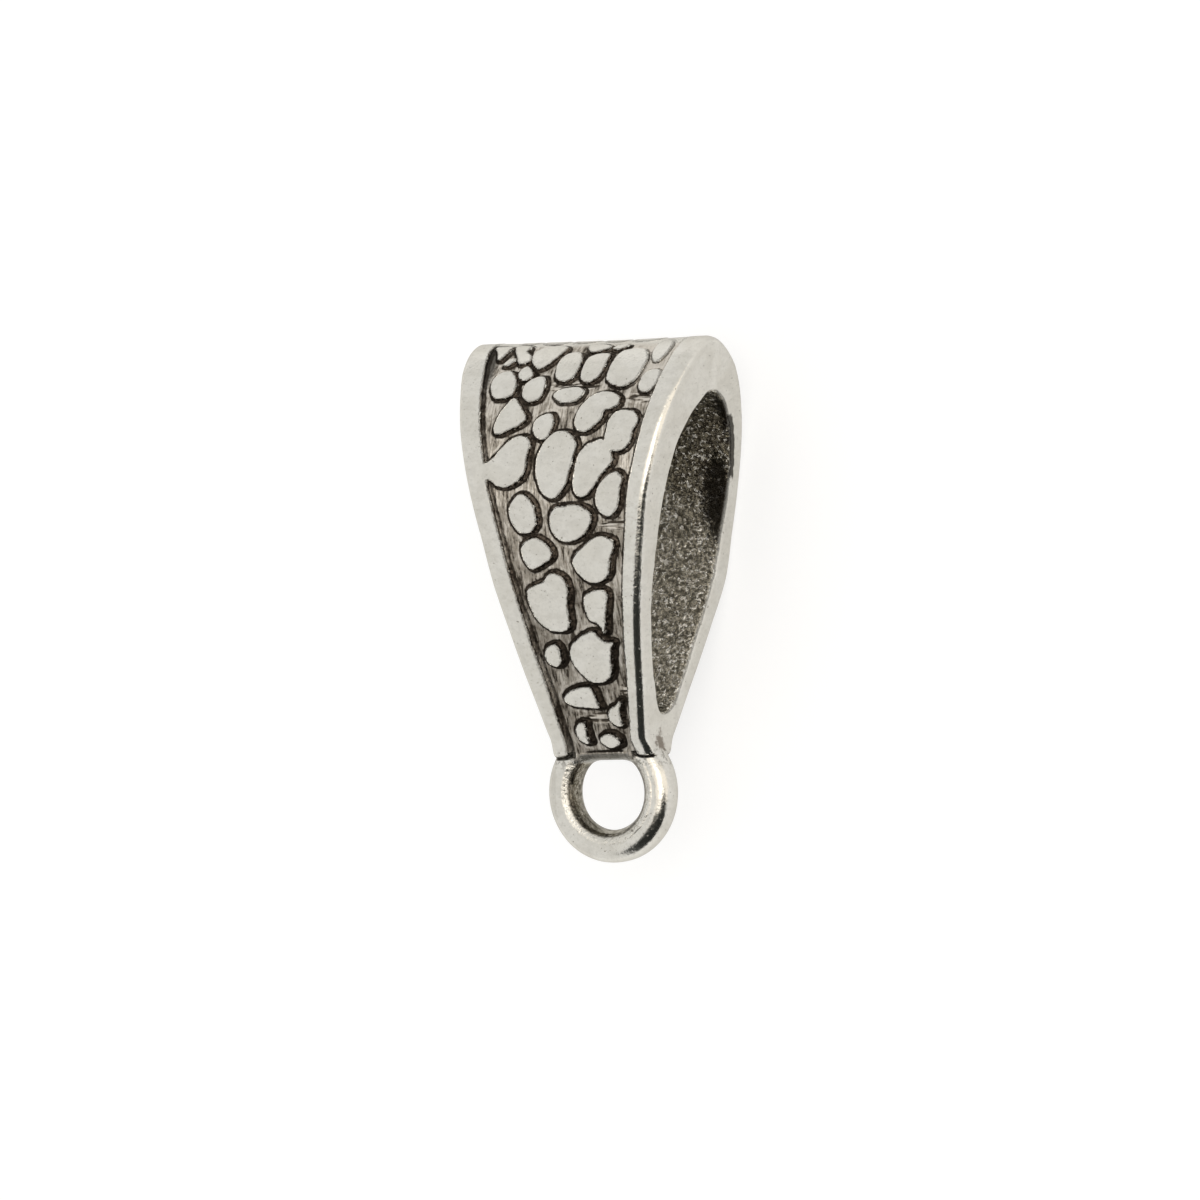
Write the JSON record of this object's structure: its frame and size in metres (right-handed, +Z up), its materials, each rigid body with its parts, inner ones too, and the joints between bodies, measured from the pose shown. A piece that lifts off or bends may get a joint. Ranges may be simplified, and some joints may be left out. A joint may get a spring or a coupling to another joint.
{
  "type": "pendant bail",
  "caption": "One-piece cast pendant bail: a tapered teardrop tunnel with smooth rims and a pebbled panel on both faces, and a round hanging ring at its foot.",
  "frame": {"origin": "on the surface that the bail lies on, under the centre of its box", "axes": "+X along the tunnel that the cord or chain runs through, +Y towards the crown, +Z up, out of the front face"},
  "size_m": [0.0104, 0.02, 0.0072],
  "materials": {
    "antique_silver": "cast zinc alloy plated in antique silver: satin light rims and pebble tops, darkened recesses"
  },
  "bodies": {
    "root": {"bail": "antique_silver"}
  },
  "joints": []
}
